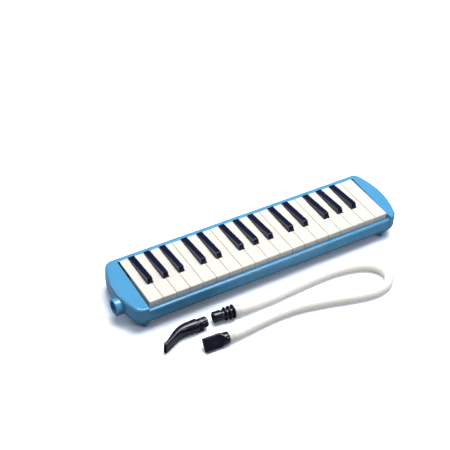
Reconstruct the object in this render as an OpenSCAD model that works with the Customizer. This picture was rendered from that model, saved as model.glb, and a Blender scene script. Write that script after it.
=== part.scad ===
// Melodica with 32 keys, its short mouthpiece, and its hose with a connector and a mouthpiece.
// X runs along the keyboard to the treble end, Y to the rear, Z up. The origin lies on the table
// under the middle of the keyboard. Millimetres.

/* [Keyboard] */
// Distance from one white key to the next
white_pitch = 20.3; // [19.8:0.1:20.8]
// Gap between neighbouring white keys
key_gap = 0.8; // [0.6:0.1:1.2]
// Length of the playing surface, from the rear rail to the key fronts
key_length = 88.8; // [86:0.1:88.8]
// Height of the playing surface at the rear rail
key_rear_z = 40.5; // [40:0.1:41]
// Rise of the playing surface towards the player, degrees
key_slope = 2.3; // [1.5:0.1:3]
// Width of a black key at its foot
black_width = 8.8; // [8:0.1:9.4]
// Height of a black key above the white keys, at its front
black_height = 8; // [6:0.5:9]
// Swing of a key from rest to its felt, degrees
key_swing = 3.3; // [2:0.1:3.3]

/* [Casing] */
// Depth of the casing, front to rear
case_depth = 104; // [104:0.5:108]
// Width of the bass cheek at its widest
left_cheek = 30.5; // [30:0.5:32]
// Width of the treble cheek at its widest
right_cheek = 25.5; // [22:0.5:26]
// Radius of the bulged ends, seen from above
end_radius = 112; // [105:1:130]
// Radius of the corners, seen from above
corner_radius = 11; // [11:0.5:13]
// Thickness of the shells
wall = 2.2; // [2:0.1:2.4]
// Height of the parting line between the two shells
split_z = 20; // [20:0.5:20.5]
// Height of the rail in front of the keys
rail_z = 34.8; // [34:0.2:35]
// Clearance under the casing
foot_height = 7; // [7:0.5:7]

/* [Blow socket and plugs] */
// Outer radius of the socket
socket_r = 11.2; // [10.8:0.1:11.6]
// Radius of the bore that takes a plug
socket_bore_r = 7.6; // [7.4:0.1:8]
// Radius of the plugs on the mouthpiece and on the hose connector
plug_r = 7.5; // [7.2:0.05:7.55]
// Distance that the socket stands out of the casing
socket_reach = 8.5; // [8:0.5:12]

/* [Hose] */
// Outer diameter of the hose
hose_d = 13; // [12:0.5:13]
// Width of the flat blade of each mouthpiece
blade_width = 19; // [18:0.5:20]

/* [Hidden] */
WHITES = 19;
WHITE_NAMES = [for (i = [0:WHITES - 1]) str("white_key_", i < 9 ? "0" : "", i + 1)];
BLACK_NAMES = [for (i = [0:12]) str("black_key_", i < 9 ? "0" : "", i + 1)];
$fn = 48;

BLUE = [0.30, 0.64, 0.89];
IVORY = [0.97, 0.96, 0.92];
BLACK = [0.07, 0.07, 0.12];
GREY = [0.62, 0.64, 0.66];
STEEL = [0.75, 0.76, 0.78];
BRASS = [0.80, 0.66, 0.33];
FELT = [0.55, 0.12, 0.14];
RUBBER = [0.25, 0.25, 0.26];

// ---- Where the keys lie ----
key_rear_y = 44;
key_front_y = key_rear_y - key_length;
keys_x0 = -WHITES * white_pitch / 2;
// The whites run F G A B C D E; a black key's middle stands this far right of the joint
// between its two whites, and the entry is undef where two whites meet with none between
BLACK_OFFSETS = [-2.4, 1.0, 4.6, undef, -1.7, 2.4, undef];
side_gap = 0.6;
function joint_x(i) = keys_x0 + i * white_pitch;
function has_black(i) = i >= 0 && i < WHITES - 1 && BLACK_OFFSETS[i % 7] != undef;
function black_x(i) = joint_x(i + 1) + BLACK_OFFSETS[i % 7];
function tail_left(i) = has_black(i - 1)
    ? black_x(i - 1) + black_width / 2 + side_gap : joint_x(i) + key_gap / 2;
function tail_right(i) = has_black(i)
    ? black_x(i) - black_width / 2 - side_gap : joint_x(i + 1) - key_gap / 2;
function tail_x(i) = (tail_left(i) + tail_right(i)) / 2;
BLACKS = [for (i = [0:WHITES - 1]) if (has_black(i)) i];
// The middles of all 32 keys from bass to treble
NOTE_X = [for (i = [0:WHITES - 1]) each has_black(i) ? [tail_x(i), black_x(i)] : [tail_x(i)]];
NOTES = len(NOTE_X);

// ---- How a key is shaped and hung ----
pivot_y = 24;
pivot_z = 35;
rod_r = 1.25;
rod_run = 0.05;      // running clearance of a key on the rod
plate_t = 2.3;       // thickness of a key's top
skirt_t = 1.4;       // thickness of a key's sides
skirt_z = 30.5;      // lower edge of a white key
black_skirt_z = 32;
skirt_end_y = 10;    // the skirts stop short of the pivot
notch_y = -14;       // front of the gap that a black key stands in
black_front_y = -13.4;
boss_r = 3.1;
boss_w = 6;
tail_y0 = 36.5;
tail_y1 = 48.5;
tail_z = 33;
tail_top_z = 36.6;
pad_t = 1.93;
glue = 0.05;
felt_top = skirt_z - (pivot_y - key_front_y) * tan(key_swing) - 0.1;
function key_z(y) = key_rear_z + (key_rear_y - y) * tan(key_slope);

// ---- Chest, reeds and what carries them ----
chest_x = 193.4;
chest_y0 = 12;
chest_y1 = 48.8;
chest_top = tail_z - glue - pad_t - 0.02;
flange_z = 23.4;
plate_z = 24.6;      // underside of the reed cells, where the reed plates are screwed
cell_top_z = 28.6;
gasket_z = 22.5;
cover_z = 14;
cover_floor = 2.2;
chest_wall = 3;
reed_plate_t = 1;
cell_w = 6.8;
screw_lugs = [-150, -75, 0, 75, 150];
lug_y = 8;
floor_top = foot_height + wall;
// Places of the reed plates' screws: between these notes and the next
PLATE_SCREWS = [0, 6, 11, 14, 16, 21, 26, 30];
function plate_screw_x(k) = (NOTE_X[PLATE_SCREWS[k]] + NOTE_X[PLATE_SCREWS[k] + 1]) / 2;
plate_screw_ys = [18.6, 43.4];
// Joints between two whites where a bracket can reach up to the rod
BRACKETS = concat([-191.9], [for (i = [4, 7, 11, 14, 18]) joint_x(i)], [191.9]);
function reed_l(n) = 24 - 12.5 * n / (NOTES - 1);

// ---- Casing outline ----
half_depth = case_depth / 2;
left_x = keys_x0 - left_cheek;
right_x = -keys_x0 + right_cheek;
corner_y = half_depth - corner_radius;
corner_dx = sqrt(pow(end_radius - corner_radius, 2) - pow(corner_y, 2));
end_angle = atan2(corner_y, corner_dx);
left_arc_x = left_x + end_radius;
right_arc_x = right_x - end_radius;
well_x = 194.2;
well_y0 = -45.5;
well_y1 = 44.4;
well_wall = 2;
belly_r = 11;
rim_r = 2;
socket_y = -15;
socket_z = 24.5;
case_left_at_socket = left_arc_x - sqrt(pow(end_radius, 2) - pow(socket_y, 2));
socket_mouth_x = case_left_at_socket - socket_reach;
cheek_screws = [[-204, -38], [-201, 43.6], [200, -38], [200, 38]];
FEET = [[-198, -44], [190, -44], [-190, 44], [190, 44]];
drain_x = 184;
drain_y = 30;

// ---- Loose pieces, lying in front of the casing ----
mouthpiece_y = -81;
mouthpiece_z = blade_width / 2;
plug_end_x = -126;
connector_x = -115.3;
connector_y = -79.7;
connector_z = 10.1;
connector_turn = -5;
connector_l = 31.5;
hose_mouth_x = -149.6;
hose_mouth_y = -116.4;
hose_mouth_z = 8.6;
hose_mouth_turn = -2;
hose_mouth_l = 35.5;
blade_tilt = 47;
nipple_l = 10;
nipple_r = 4.8;
// The hose's route on the table: out of the connector, round one wide loop, and back
HOSE_ROUTE = [
    [-83.9, -82.5, 10.1], [-72, -83.4, 9.6], [-58, -83.8, 8.2], [-42, -83.6, 6.9],
    [-15, -83, 6.5], [16, -81, 6.5], [47, -79.5, 6.5], [77, -79.5, 6.5], [103, -82.5, 6.5],
    [124, -88.5, 6.5], [139.5, -99, 6.5], [146.5, -113, 6.5], [143, -127, 6.5],
    [131, -136, 6.5], [114, -139, 6.5], [97, -137.5, 6.5], [72, -131.5, 6.5],
    [46, -124.5, 6.5], [21, -118.5, 6.5], [-5, -114, 6.5], [-33, -112.5, 6.5],
    [-60, -114, 6.8], [-84, -116.3, 7.6], [-100, -117.5, 8.3], [-114.1, -117.6, 8.6]];
HOSE_SIDES = 12;
HOSE_STEPS = 3;

// ---- Small helpers ----
// A side outline, given as [y, z] points, made solid between two places along X
module along_x(x0, x1, outline)
    translate([x0, 0, 0]) rotate([90, 0, 90]) linear_extrude(x1 - x0) polygon(outline);
// A box given by its low and high corners
module block(low, high) translate(low) cube(high - low);
// A round bar along X
module bar_x(x0, x1, y, z, r) translate([x0, y, z]) rotate([0, 90, 0]) cylinder(h = x1 - x0, r = r);
// A round bar along Z
module bar_z(z0, z1, x, y, r) translate([x, y, z0]) cylinder(h = z1 - z0, r = r);

// The casing's outline seen from above, moved inwards by d
function arc(cx, cy, r, a0, a1, n) = [for (k = [0:n]) let (a = a0 + (a1 - a0) * k / n)
    [cx + r * cos(a), cy + r * sin(a)]];
function outline(d) = concat(
    arc(right_arc_x + corner_dx, corner_y, corner_radius - d, 90, end_angle, 6),
    arc(right_arc_x, 0, end_radius - d, end_angle * 0.9, -end_angle * 0.9, 8),
    arc(right_arc_x + corner_dx, -corner_y, corner_radius - d, -end_angle, -90, 6),
    arc(left_arc_x - corner_dx, -corner_y, corner_radius - d, -90, end_angle - 180, 6),
    arc(left_arc_x, 0, end_radius - d, 180 + end_angle * 0.9, 180 - end_angle * 0.9, 8),
    arc(left_arc_x - corner_dx, corner_y, corner_radius - d, 180 - end_angle, 90, 6));
// A rectangle with round lower corners (the belly) and round upper corners (the rim)
module round_section(x0, x1, z0, z1, low_r, high_r) {
    translate([x0, z0 + low_r]) square([x1 - x0, z1 - z0 - low_r - high_r]);
    translate([x0 + low_r, z0]) square([x1 - x0 - 2 * low_r, z1 - z0 - high_r]);
    translate([x0 + high_r, z1 - low_r]) square([x1 - x0 - 2 * high_r, low_r]);
    for (x = [x0 + low_r, x1 - low_r]) translate([x, z0 + low_r]) circle(r = low_r);
    for (x = [x0 + high_r, x1 - high_r]) translate([x, z1 - high_r]) circle(r = high_r);
}
// The casing's outer form moved inwards by d: where its three silhouettes meet
module case_form(d) {
    low = foot_height + d;
    high = key_rear_z - d;
    intersection() {
        translate([0, 0, low]) linear_extrude(high - low) polygon(outline(d));
        translate([left_x - 5, 0, 0]) rotate([90, 0, 90]) linear_extrude(right_x - left_x + 10)
            round_section(d - half_depth, half_depth - d, low, high, belly_r - d, rim_r - d / 2);
        translate([0, half_depth + 5, 0]) rotate([90, 0, 0]) linear_extrude(case_depth + 10)
            round_section(left_x + d, right_x - d, low, high, belly_r - d, rim_r - d / 2);
    }
}

// ---- Shells ----
module upper_casing() color(BLUE) difference() {
    union() {
        difference() {
            case_form(0);
            case_form(wall);
            block([left_x - 1, -half_depth - 1, 0], [right_x + 1, half_depth + 1, split_z]);
        }
        // walls of the well that the keys stand in, and the rail's top
        block([-well_x - well_wall, well_y0 - well_wall, 24], [-well_x, 50, 38.6]);
        block([well_x, well_y0 - well_wall, 24], [well_x + well_wall, 50, 38.6]);
        block([-well_x - 1, well_y0 - well_wall, 24], [well_x + 1, well_y0, rail_z]);
        block([-well_x - 1, -50.5, rail_z - wall], [well_x + 1, well_y0, rail_z]);
        for (s = cheek_screws) bar_z(split_z, 39, s[0], s[1], 3.4);
    }
    block([-well_x, well_y0, 18], [well_x, well_y1, 60]);
    block([-well_x, -60, rail_z], [well_x, well_y0 + 1, 60]);
    bar_x(-240, -212, socket_y, socket_z, socket_r);
    for (s = cheek_screws) bar_z(split_z - 1, 34, s[0], s[1], 1.25);
}

module lower_casing() color(BLUE) difference() {
    union() {
        difference() {
            case_form(0);
            case_form(wall);
            block([left_x - 1, -half_depth - 1, split_z], [right_x + 1, half_depth + 1, 60]);
        }
        for (s = cheek_screws) bar_z(foot_height + 2, split_z, s[0], s[1], 4.3);
        for (f = FEET) translate([f[0], f[1], 0]) cylinder(h = foot_height + 3, r1 = 2.5, r2 = 5.4);
        for (x = screw_lugs) bar_z(foot_height + 1, cover_z, x, lug_y, 4.6);
        // bench for the felt and the guides, a rib for the black keys' guides, a rib for the chest
        block([-188, -43.5, foot_height + 1], [188, -41.9, 25.4]);
        block([-188, -43.5, 23.8], [188, -25, 25.4]);
        block([-188, -26.6, foot_height + 1], [188, -25, 25.4]);
        block([-188, -4, foot_height + 1], [188, -2, 24]);
        block([-188, 45.2, foot_height + 1], [188, 47, cover_z]);
    }
    for (s = cheek_screws) {
        bar_z(-1, foot_height + 4, s[0], s[1], 3.1);
        bar_z(-1, split_z + 1, s[0], s[1], 1.7);
    }
    for (x = screw_lugs) {
        bar_z(-1, foot_height + 2.2, x, lug_y, 3.1);
        bar_z(-1, split_z, x, lug_y, 1.5);
    }
    bar_z(-1, floor_top + 1, drain_x, drain_y, 5.8);
    bar_x(-240, -212, socket_y, socket_z, socket_r);
}

module blow_socket() color(BLUE) {
    rib_t = 13;
    flange_x = case_left_at_socket + 6;     // inside the casing's curved end wall
    rib_end = case_left_at_socket - 0.8;    // just short of that wall
    rib_low = socket_z - socket_r - 1;
    difference() {
        union() {
            bar_x(socket_mouth_x, flange_x + 0.1, socket_y, socket_z, socket_r - 0.02);
            bar_x(flange_x, flange_x + 1.6, socket_y, socket_z, socket_r + 1.6);
            bar_x(flange_x + 1.5, flange_x + 8.9, socket_y, socket_z, 8.6);
            // wide web under the tube
            block([socket_mouth_x + 1, socket_y - rib_t / 2, rib_low],
                [rib_end, socket_y + rib_t / 2, socket_z - 8.5]);
        }
        bar_x(socket_mouth_x - 1, socket_mouth_x + 17, socket_y, socket_z, socket_bore_r);
        bar_x(socket_mouth_x, case_left_at_socket + 15.5, socket_y, socket_z, 6.8);
        translate([socket_mouth_x - 0.01, socket_y, socket_z]) rotate([0, 90, 0])
            cylinder(h = 3, r1 = socket_bore_r + 1.8, r2 = socket_bore_r);
    }
}

// ---- Wind way ----
module air_duct() color(GREY) difference() {
    union() {
        block([-208.6, -26, 14.6], [-197.2, 38.8, 34.4]);
        block([-198, 18, 14.9], [-chest_x - 0.02, 36, 22.4]);
    }
    block([-207, -24.4, 16.2], [-198.8, 37.2, 32.8]);
    block([-200, 19.6, 16.5], [-chest_x + 1, 34.4, 20.8]);
    bar_x(-215, -205, socket_y, socket_z, 8.62);
}

module lugs(z0, z1) for (x = screw_lugs) {
    bar_z(z0, z1, x, lug_y, 4);
    block([x - 4, lug_y, z0], [x + 4, chest_y0 + 0.5, z1]);
}

module wind_chest() color(GREY) difference() {
    union() {
        block([-chest_x, chest_y0, flange_z], [chest_x, chest_y1, chest_top]);
        lugs(flange_z, 28);
        for (x = BRACKETS) block([x - bracket_w(x) / 2, 20.7, chest_top - 1],
            [x + bracket_w(x) / 2, 27.3, 37.6]);
    }
    block([-chest_x + chest_wall, chest_y0 + 2.5, flange_z - 1],
        [chest_x - chest_wall, chest_y1 - 2.5, plate_z]);
    for (x = NOTE_X) {
        block([x - cell_w / 2, 20, plate_z - 1], [x + cell_w / 2, 41.6, cell_top_z]);
        block([x - 2.4, 38.8, plate_z], [x + 2.4, 45.6, chest_top + 1]);
    }
    bar_x(-200, 200, pivot_y, pivot_z, rod_r + 0.03);
    for (x = screw_lugs) bar_z(flange_z - 1, 26.8, x, lug_y, 1.22);
    for (k = [0:len(PLATE_SCREWS) - 1]) for (y = plate_screw_ys)
        bar_z(plate_z - 1, 28, plate_screw_x(k), y, 0.9);
}
function bracket_w(x) = abs(x) > 191 ? 1.1 : 2.2;

module chest_cover() color(GREY) difference() {
    union() {
        block([-chest_x, chest_y0, cover_z], [chest_x, chest_y1, gasket_z]);
        lugs(cover_z, gasket_z);
    }
    block([-chest_x + chest_wall, chest_y0 + 2.5, cover_z + cover_floor],
        [chest_x - chest_wall, chest_y1 - 2.5, gasket_z + 1]);
    block([-chest_x - 1, 19.6, 16.5], [-chest_x + chest_wall + 1, 34.4, 20.8]);
    for (x = screw_lugs) bar_z(cover_z - 1, gasket_z + 1, x, lug_y, 1.6);
    bar_z(cover_z - 1, cover_z + 3, drain_x, drain_y, 3);
}

module chest_gasket() color(RUBBER) difference() {
    union() {
        block([-chest_x, chest_y0, gasket_z], [chest_x, chest_y1, flange_z]);
        lugs(gasket_z, flange_z);
    }
    block([-chest_x + chest_wall, chest_y0 + 2.5, gasket_z - 1],
        [chest_x - chest_wall, chest_y1 - 2.5, flange_z + 1]);
    for (x = screw_lugs) bar_z(gasket_z - 1, flange_z + 1, x, lug_y, 1.6);
}

// A pan-head screw pointing up from its head's underside
module screw(x, y, z_head, head_h, head_r, shank_r, length) {
    difference() {
        bar_z(z_head, z_head + head_h, x, y, head_r);
        block([x - head_r, y - 0.3, z_head - 1], [x + head_r, y + 0.3, z_head + head_h / 2]);
        block([x - 0.3, y - head_r, z_head - 1], [x + 0.3, y + head_r, z_head + head_h / 2]);
    }
    bar_z(z_head + head_h - 0.1, z_head + head_h + length, x, y, shank_r);
}

module chest_screws() color(STEEL) for (x = screw_lugs)
    screw(x, lug_y, foot_height + 0.1, 2, 2.9, 1.2, 17);

module casing_screws() color(STEEL) for (s = cheek_screws)
    screw(s[0], s[1], foot_height + 1.9, 2, 2.9, 1.23, 20);

// ---- Reeds ----
module reed_plate(n0, n1, x0, x1, k0, k1) color(STEEL) difference() {
    block([x0, chest_y0 + 2.6, plate_z - reed_plate_t], [x1, chest_y1 - 2.6, plate_z]);
    for (n = [n0:n1]) block([NOTE_X[n] - 1.5, 21, plate_z - 2], [NOTE_X[n] + 1.5, 21 + reed_l(n), 30]);
    for (n = [n0:n1]) bar_z(plate_z - 2, plate_z + 1, NOTE_X[n], 19, 0.75);
    for (k = [k0:k1]) for (y = plate_screw_ys)
        bar_z(plate_z - 2, plate_z + 1, plate_screw_x(k), y, 1.05);
}
module reed_plate_bass() reed_plate(0, 15, -chest_x + 3.2, -0.3 + middle_x, 0, 3);
module reed_plate_treble() reed_plate(16, 31, 0.3 + middle_x, chest_x - 3.2, 4, 7);
middle_x = (NOTE_X[15] + NOTE_X[16]) / 2;

module reeds() color(BRASS) for (n = [0:NOTES - 1]) difference() {
    block([NOTE_X[n] - 1.3, 17.4, plate_z - reed_plate_t - 0.3],
        [NOTE_X[n] + 1.3, 20.7 + reed_l(n), plate_z - reed_plate_t - 0.02]);
    bar_z(plate_z - 3, plate_z, NOTE_X[n], 19, 0.75);
}

module reed_rivets() color(BRASS) for (x = NOTE_X) {
    bar_z(plate_z - reed_plate_t - 0.8, plate_z - reed_plate_t - 0.32, x, 19, 1.2);
    bar_z(plate_z - reed_plate_t - 0.5, plate_z - 0.02, x, 19, 0.73);
}

module reed_plate_screws() color(STEEL) for (k = [0:len(PLATE_SCREWS) - 1])
    for (y = plate_screw_ys)
        screw(plate_screw_x(k), y, plate_z - reed_plate_t - 0.82, 0.8, 1.6, 0.86, 3.6);

// ---- Keys ----
// The part under every key: its boss on the rod, its rib, its tail and the tail's pad
module lever(x, tail_w) {
    difference() {
        union() {
            bar_x(x - boss_w / 2, x + boss_w / 2, pivot_y, pivot_z, boss_r);
            along_x(x - boss_w / 2, x + boss_w / 2, [[pivot_y - boss_r, pivot_z],
                [pivot_y + boss_r, pivot_z], [pivot_y + boss_r, 39.6], [pivot_y - boss_r, 39.6]]);
            along_x(x - 1, x + 1, [[8, 34], [tail_y0 + 1, 34], [tail_y0 + 1, 39.5], [8, 39.8]]);
            along_x(x - tail_w / 2, x + tail_w / 2, [[tail_y0, tail_z], [tail_y1, tail_z],
                [tail_y1, tail_top_z], [key_rear_y - 0.05, tail_top_z],
                [key_rear_y - 0.05, 39.5], [tail_y0, 39.5]]);
        }
        bar_x(x - boss_w, x + boss_w, pivot_y, pivot_z, rod_r + rod_run);
    }
    block([x - 3.4, 37.5, chest_top + 0.02], [x + 3.4, 47, tail_z - glue]);
}

module white_key(i) color(IVORY) {
    x0 = joint_x(i) + key_gap / 2;
    x1 = joint_x(i + 1) - key_gap / 2;
    t0 = tail_left(i);
    t1 = tail_right(i);
    front = key_front_y;
    difference() {
        union() {
            along_x(x0, x1, [[front, skirt_z], [front, key_z(front) - 0.8],
                [front + 0.7, key_z(front)], [notch_y, key_z(notch_y)], [notch_y, skirt_z]]);
            along_x(t0, t1, [[notch_y - 2, skirt_z], [notch_y - 2, key_z(notch_y - 2)],
                [key_rear_y, key_rear_z], [key_rear_y, key_rear_z - plate_t],
                [skirt_end_y, key_z(skirt_end_y) - plate_t], [skirt_end_y, skirt_z]]);
        }
        along_x(x0 + skirt_t, x1 - skirt_t, [[front + 1.6, skirt_z - 1],
            [front + 1.6, key_z(front) - plate_t], [notch_y - skirt_t, key_z(notch_y) - plate_t],
            [notch_y - skirt_t, skirt_z - 1]]);
        along_x(t0 + skirt_t, t1 - skirt_t, [[notch_y - 4, skirt_z - 1],
            [notch_y - 4, key_z(notch_y - 4) - plate_t],
            [skirt_end_y - skirt_t, key_z(skirt_end_y) - plate_t],
            [skirt_end_y - skirt_t, skirt_z - 1]]);
    }
    lever(tail_x(i), 9);
}

module black_key(i) color(BLACK) {
    x = black_x(i);
    half = black_width / 2;
    foot = black_front_y;
    foot_z = key_z(foot);
    top_z = foot_z + black_height;
    rear_z = key_rear_z + 1.8;
    difference() {
        intersection() {
            along_x(x - half, x + half, [[foot, black_skirt_z], [foot, foot_z + 0.6],
                [foot + 2.2, top_z - 1.2], [foot + 3.4, top_z], [key_rear_y, rear_z],
                [key_rear_y, key_rear_z - plate_t], [skirt_end_y, key_z(skirt_end_y) - plate_t],
                [skirt_end_y, black_skirt_z]]);
            // sides that lean inwards above the white keys
            translate([x, 50, 0]) rotate([90, 0, 0]) linear_extrude(70) polygon([[-half, 30],
                [half, 30], [half, 42], [half - 1.05, top_z + 0.5], [1.05 - half, top_z + 0.5],
                [-half, 42]]);
        }
        along_x(x - half + skirt_t, x + half - skirt_t, [[foot + skirt_t, black_skirt_z - 1],
            [foot + skirt_t, foot_z], [foot + 4.2, top_z - plate_t],
            [skirt_end_y - skirt_t, key_z(skirt_end_y)],
            [skirt_end_y - skirt_t, black_skirt_z - 1]]);
    }
    lever(x, 7);
}

module pivot_rod() color(STEEL) bar_x(-193, 193, pivot_y, pivot_z, rod_r);

// A torsion spring on the rod beside each boss: three turns, one leg on the chest and one
// under the key's top
module spring(x) {
    wire = 0.3;
    turn_r = 1.75;
    translate([x, pivot_y, pivot_z]) {
        rotate([0, 90, 0]) rotate_extrude() polygon([[turn_r - wire, -0.85],
            [turn_r + wire / 2, -0.85], [turn_r + wire, -0.57], [turn_r + wire / 2, -0.28],
            [turn_r + wire, 0], [turn_r + wire / 2, 0.28], [turn_r + wire, 0.57],
            [turn_r + wire / 2, 0.85], [turn_r - wire, 0.85]]);
        translate([-0.55, 0, -turn_r]) rotate([100, 0, 0]) cylinder(h = 10, r = wire, $fn = 16);
        translate([0.55, 0, turn_r]) rotate([82, 0, 0]) cylinder(h = 11, r = wire, $fn = 16);
    }
}
module key_springs() color(STEEL) for (n = [0:NOTES - 1])
    spring(NOTE_X[n] + (n == 0 ? 4.15 : -4.15));

// Tongues that stand inside the keys and keep them apart
module key_guides() color(GREY) {
    block([-188, -32, 25.42], [188, -25.2, 26.8]);
    for (i = [0:WHITES - 1]) {
        x = joint_x(i + 0.5);
        w = white_pitch / 2 - key_gap / 2 - skirt_t - 0.25;
        block([x - w, -30, 26], [x + w, -28, 36]);
    }
    block([-188, -6, 24.02], [188, 0, 25.6]);
    for (i = BLACKS) block([black_x(i) - 2.7, -4, 25], [black_x(i) + 2.7, -2, 37]);
}

module front_felt() color(FELT) block([-188, -43.3, 25.42], [188, -32.4, felt_top]);

// ---- Drain valve ----
module drain_button() color(BLACK) {
    bar_z(4.6, 9.3, drain_x, drain_y, 5.6);
    bar_z(9.25, 10.3, drain_x, drain_y, 7);
    bar_z(10.2, 17.6, drain_x, drain_y, 1.2);
    bar_z(17.55, 18.4, drain_x, drain_y, 2);
}
module drain_seal() color(RUBBER) difference() {
    bar_z(cover_z + cover_floor + 0.02, 17.53, drain_x, drain_y, 4.2);
    bar_z(cover_z, 19, drain_x, drain_y, 1.22);
}
// Three turns of wire, swept as a helix
module drain_spring() color(STEEL) {
    coil_r = 3.6;
    wire = 0.3;
    translate([drain_x, drain_y, 10.65]) skin([for (a = [0:22.5:3 * 360]) [for (b = [0:60:300])
        [(coil_r + wire * cos(b)) * cos(a), (coil_r + wire * cos(b)) * sin(a),
         a * 2.9 / (3 * 360) + wire * sin(b)]]]);
}

// ---- Loose pieces ----
// A solid skin over a row of rings, each a list of the same number of points
module skin(rings) {
    n = len(rings) - 1;
    m = len(rings[0]);
    sides = [for (k = [0:n - 1]) for (s = [0:m - 1]) let (t = (s + 1) % m)
        [k * m + s, k * m + t, (k + 1) * m + t, (k + 1) * m + s]];
    polyhedron([for (ring = rings) each ring], concat(sides,
        [[for (s = [m - 1:-1:0]) s], [for (s = [0:m - 1]) n * m + s]]));
}
// One slice of the beak: a rounded blade standing on its edge, square to the air's path
function rounded(v) = sign(v) * pow(abs(v), 0.7);
function slice(x, y, thick, turn) = [for (a = [9:18:351]) let (t = thick / 2 * rounded(cos(a)))
    [x - t * sin(turn), y + t * cos(turn), mouthpiece_z + blade_width / 2 * rounded(sin(a))]];
// Beak stations: x, y, thickness, turn
BEAK = [[-141, -81, 15, 0], [-156, -81, 14.5, 2], [-168, -81.8, 12.5, 14], [-176, -85, 10, 28],
    [-185, -90.3, 7.6, 30], [-197, -96.2, 5, 24]];

module mouthpiece() color(BLACK) difference() {
    union() {
        skin([for (s = BEAK) slice(s[0], s[1], s[2], s[3])]);
        bar_x(-141.5, -137.4, mouthpiece_y, mouthpiece_z, plug_r - 1);
        bar_x(-137.5, -131.5, mouthpiece_y, mouthpiece_z, plug_r);
        bar_x(-131.6, -130.4, mouthpiece_y, mouthpiece_z, plug_r - 0.8);
        translate([-130.5, mouthpiece_y, mouthpiece_z]) rotate([0, 90, 0])
            cylinder(h = 130.5 + plug_end_x, r1 = plug_r, r2 = plug_r - 0.3);
        // locating lug under the plug
        bar_x(-142, -133, mouthpiece_y - 5.5, mouthpiece_z - 6.5, 2);
    }
    bar_x(-166, plug_end_x + 1, mouthpiece_y, mouthpiece_z, 3.6);
    translate([-164, -80.5, mouthpiece_z]) rotate([0, 0, 205]) translate([0, -1, -6]) cube([42, 2, 12]);
}

module hose_connector() color(BLACK)
    translate([connector_x, connector_y, connector_z]) rotate([0, 0, connector_turn])
    difference() {
        rotate([0, 90, 0]) {
            cylinder(h = 1.6, r1 = plug_r - 0.7, r2 = plug_r);
            translate([0, 0, 1.5]) cylinder(h = 10, r = plug_r);
            translate([0, 0, 11.4]) cylinder(h = connector_l - 11.4, r = 7.2);
            for (k = [0:2]) translate([0, 0, 14 + k * 6])
                cylinder(h = 5 - k * 0.2, r1 = 8.2 + k * 0.5, r2 = 9 + k * 0.5);
            translate([0, 0, connector_l - 0.1]) cylinder(h = nipple_l, r = nipple_r);
        }
        rotate([0, 90, 0]) translate([0, 0, -1]) cylinder(h = connector_l + nipple_l + 3, r = 3.6);
    }

module hose_mouthpiece() color(BLACK)
    translate([hose_mouth_x, hose_mouth_y, hose_mouth_z]) rotate([0, 0, hose_mouth_turn])
    difference() {
        union() {
            rotate([blade_tilt, 0, 0]) {
                translate([0, 3.3 - blade_width / 2, -3.3]) cube([28, blade_width - 6.6, 6.6]);
                for (s = [-1, 1]) translate([0, s * (blade_width / 2 - 3.3), 0])
                    rotate([0, 90, 0]) cylinder(h = 28, r = 3.3);
            }
            rotate([0, 90, 0]) translate([0, 0, 27.9])
                cylinder(h = hose_mouth_l - 27.9, r = 8.2);
            rotate([0, 90, 0]) translate([0, 0, hose_mouth_l - 0.1])
                cylinder(h = nipple_l, r = nipple_r);
        }
        rotate([0, 90, 0]) translate([0, 0, 24]) cylinder(h = 30, r = 3.2);
        rotate([blade_tilt, 0, 0]) translate([12, 0, 0]) cube([30, 13, 2.4], center = true);
    }

// The hose: a ring carried along a smooth curve through the route's points
function catmull(a, b, c, d, t) = 0.5 * (2 * b + (c - a) * t + (2 * a - 5 * b + 4 * c - d) * t * t
    + (3 * b - a - 3 * c + d) * t * t * t);
function end_point(k) = HOSE_ROUTE[max(0, min(len(HOSE_ROUTE) - 1, k))];
HOSE_LINE = concat([for (k = [0:len(HOSE_ROUTE) - 2]) for (s = [0:HOSE_STEPS - 1])
    catmull(end_point(k - 1), end_point(k), end_point(k + 1), end_point(k + 2), s / HOSE_STEPS)],
    [HOSE_ROUTE[len(HOSE_ROUTE) - 1]]);
function unit(v) = v / norm(v);
module hose() color([0.93, 0.92, 0.88]) {
    n = len(HOSE_LINE) - 1;
    skin([for (k = [0:n]) let (
        way = unit(HOSE_LINE[min(n, k + 1)] - HOSE_LINE[max(0, k - 1)]),
        side = unit(cross(way, [0, 0, 1])),
        up = cross(side, way))
        [for (s = [0:HOSE_SIDES - 1]) let (a = 360 * s / HOSE_SIDES)
            HOSE_LINE[k] + hose_d / 2 * (cos(a) * side + sin(a) * up)]]);
}

upper_casing();
lower_casing();
blow_socket();
air_duct();
wind_chest();
chest_cover();
chest_gasket();
chest_screws();
casing_screws();
reed_plate_bass();
reed_plate_treble();
reeds();
reed_rivets();
reed_plate_screws();
pivot_rod();
key_springs();
key_guides();
front_felt();
drain_button();
drain_seal();
drain_spring();
mouthpiece();
hose_connector();
hose();
hose_mouthpiece();
for (i = [0:WHITES - 1]) white_key(i);
for (k = [0:len(BLACKS) - 1]) black_key(BLACKS[k]);
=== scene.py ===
"""A blue melodica with 32 keys, its short mouthpiece, and its hose with a connector and a mouthpiece."""

import math

import bmesh
import bpy
import numpy as np
from mathutils import Matrix, Vector


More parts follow.
